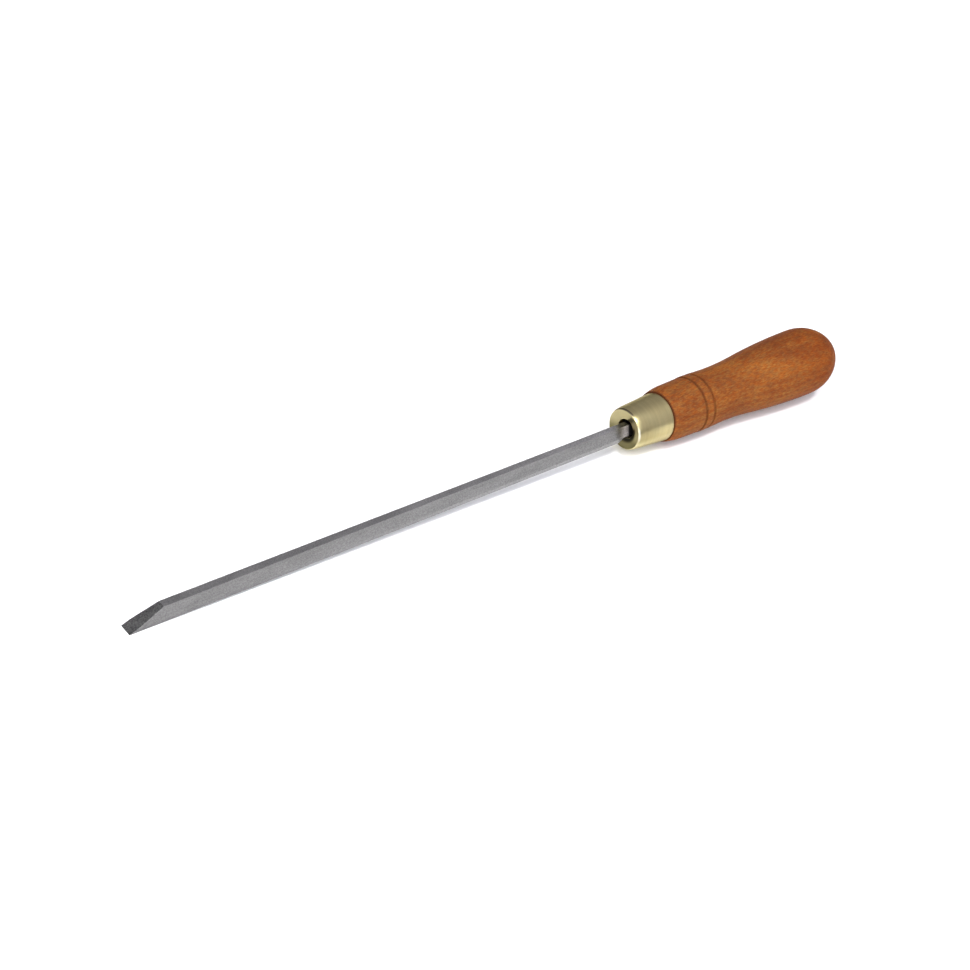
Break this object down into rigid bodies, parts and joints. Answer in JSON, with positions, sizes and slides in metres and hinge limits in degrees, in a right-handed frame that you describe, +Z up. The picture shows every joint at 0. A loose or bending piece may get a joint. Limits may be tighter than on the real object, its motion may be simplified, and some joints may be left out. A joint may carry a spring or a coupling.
{
  "type": "paring chisel",
  "caption": "Long slim paring chisel with a bevel-edged steel blade, tapered brass ferrule and turned wooden handle, lying on its back.",
  "frame": {"origin": "on the bench under the middle of the tool's length, with the tool lying on its back", "axes": "+X along the tool from the cutting edge to the butt, +Z up from the bench"},
  "size_m": [0.4016, 0.0328, 0.033],
  "materials": {
    "steel": "fine ground",
    "brass": "satin",
    "wood": "stained, thin satin varnish"
  },
  "bodies": {
    "root": {"blade": "steel", "ferrule": "brass", "handle": "wood"}
  },
  "joints": []
}
